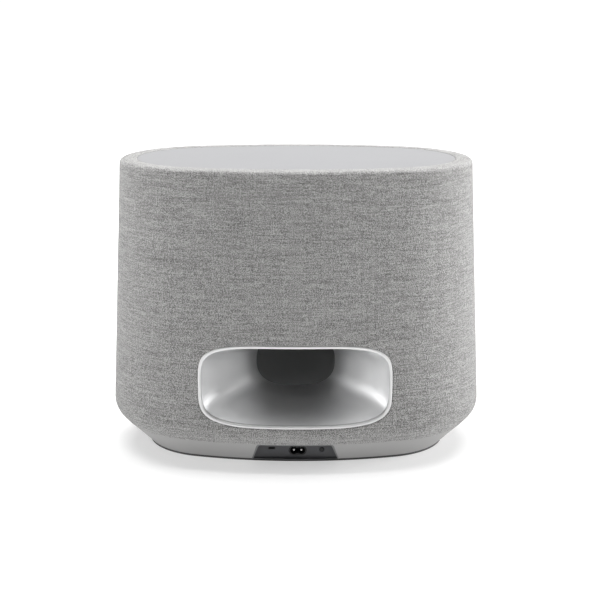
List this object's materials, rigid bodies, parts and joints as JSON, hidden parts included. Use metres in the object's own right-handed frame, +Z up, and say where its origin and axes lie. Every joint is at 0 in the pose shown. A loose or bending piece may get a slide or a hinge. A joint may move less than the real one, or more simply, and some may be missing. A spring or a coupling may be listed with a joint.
{
  "type": "smart speaker",
  "caption": "Large oval smart speaker wrapped in grey knit cloth, with a flat touch top, a flared bass port at the back and a recessed connector bay in its tapered base.",
  "frame": {"origin": "on the surface that the speaker stands on, under the middle of the body", "axes": "+Z up, -Y towards the listener, +Y towards the port and connectors, +X across the width"},
  "size_m": [0.42, 0.2599, 0.326],
  "materials": {
    "cloth": "heathered grey knit",
    "grille_plastic": "moulded, slotted",
    "panel_plastic": "fine satin",
    "deck_plastic": "moulded",
    "base_plastic": "satin grey",
    "plate_plastic": "moulded",
    "foot_rubber": "matt",
    "trim_metal": "bright satin",
    "flare_metal": "satin",
    "duct_plastic": "moulded",
    "tray_plastic": "fine texture",
    "socket_plastic": "moulded",
    "contact_metal": "plated",
    "button_plastic": "moulded",
    "switch_plastic": "moulded",
    "circuit_board": "solder mask",
    "chip_plastic": "moulded",
    "cabinet_plastic": "moulded",
    "foam": "closed-cell",
    "wool": "loose fibre",
    "basket_steel": "powder coat",
    "cone_plastic": "satin",
    "surround_rubber": "matt",
    "spider_cloth": "woven",
    "coil_copper": "wound wire",
    "magnet_ferrite": "ground",
    "yoke_steel": "zinc plated",
    "faceplate_plastic": "moulded",
    "dome_silk": "coated silk",
    "heatsink": "extruded",
    "component": "mixed parts",
    "antenna_metal": "etched",
    "wire_jacket": "smooth",
    "screw_steel": "zinc plated"
  },
  "bodies": {
    "housing": {"fabric_cover": "cloth", "grille_frame": "grille_plastic", "top_panel": "panel_plastic", "top_deck": "deck_plastic", "base_housing": "base_plastic", "locating_collar": "base_plastic", "bottom_plate": "plate_plastic", "foot_ring": "foot_rubber", "port_trim": "trim_metal", "port_horn": "flare_metal", "port_tube": "duct_plastic", "port_gasket": "foam", "connector_panel": "tray_plastic", "mains_inlet": "socket_plastic", "inlet_pins": "contact_metal", "service_socket": "socket_plastic", "pairing_switch": "switch_plastic", "io_board": "circuit_board", "rear_cabinet": "cabinet_plastic", "front_baffle": "cabinet_plastic", "baffle_gasket": "foam", "wadding": "wool", "control_board": "circuit_board", "control_chips": "chip_plastic", "antennas": "antenna_metal", "amplifier_board": "circuit_board", "amplifier_heatsink": "heatsink", "power_board": "circuit_board", "power_parts": "component", "touch_board": "circuit_board", "microphones": "chip_plastic", "mains_harness": "wire_jacket", "speaker_harness": "wire_jacket", "driver_screws": "screw_steel", "cabinet_screws": "screw_steel", "base_screws": "screw_steel", "deck_screws": "screw_steel", "woofer_left_basket": "basket_steel", "woofer_left_surround": "surround_rubber", "woofer_left_spider": "spider_cloth", "woofer_left_magnet": "magnet_ferrite", "woofer_left_yoke": "yoke_steel", "tweeter_left_faceplate": "faceplate_plastic", "tweeter_left_motor": "magnet_ferrite", "woofer_right_basket": "basket_steel", "woofer_right_surround": "surround_rubber", "woofer_right_spider": "spider_cloth", "woofer_right_magnet": "magnet_ferrite", "woofer_right_yoke": "yoke_steel", "tweeter_right_faceplate": "faceplate_plastic", "tweeter_right_motor": "magnet_ferrite"},
    "woofer_left_moving": {"woofer_left_cone": "cone_plastic", "woofer_left_dust_cap": "cone_plastic", "woofer_left_voice_coil": "coil_copper"},
    "tweeter_left_moving": {"tweeter_left_dome": "dome_silk"},
    "woofer_right_moving": {"woofer_right_cone": "cone_plastic", "woofer_right_dust_cap": "cone_plastic", "woofer_right_voice_coil": "coil_copper"},
    "tweeter_right_moving": {"tweeter_right_dome": "dome_silk"},
    "pairing_button": {"pairing_button": "button_plastic"}
  },
  "joints": [
    {"name": "woofer_left_stroke", "type": "slide", "parent": "housing", "child": "woofer_left_moving", "axis": [0, -1, 0], "range_m": [-0.006, 0.006], "stiffness_N_per_m": 1200, "deforming": ["woofer_left_surround", "woofer_left_spider"]},
    {"name": "woofer_right_stroke", "type": "slide", "parent": "housing", "child": "woofer_right_moving", "axis": [0, -1, 0], "range_m": [-0.006, 0.006], "stiffness_N_per_m": 1200, "deforming": ["woofer_right_surround", "woofer_right_spider"]},
    {"name": "tweeter_left_stroke", "type": "slide", "parent": "housing", "child": "tweeter_left_moving", "axis": [0, -1, 0], "range_m": [-0.0004, 0.0004], "stiffness_N_per_m": 800},
    {"name": "tweeter_right_stroke", "type": "slide", "parent": "housing", "child": "tweeter_right_moving", "axis": [0, -1, 0], "range_m": [-0.0004, 0.0004], "stiffness_N_per_m": 800},
    {"name": "pairing_button_press", "type": "slide", "parent": "housing", "child": "pairing_button", "axis": [0, -1, 0], "range_m": [0, 0.0008], "stiffness_N_per_m": 600}
  ]
}
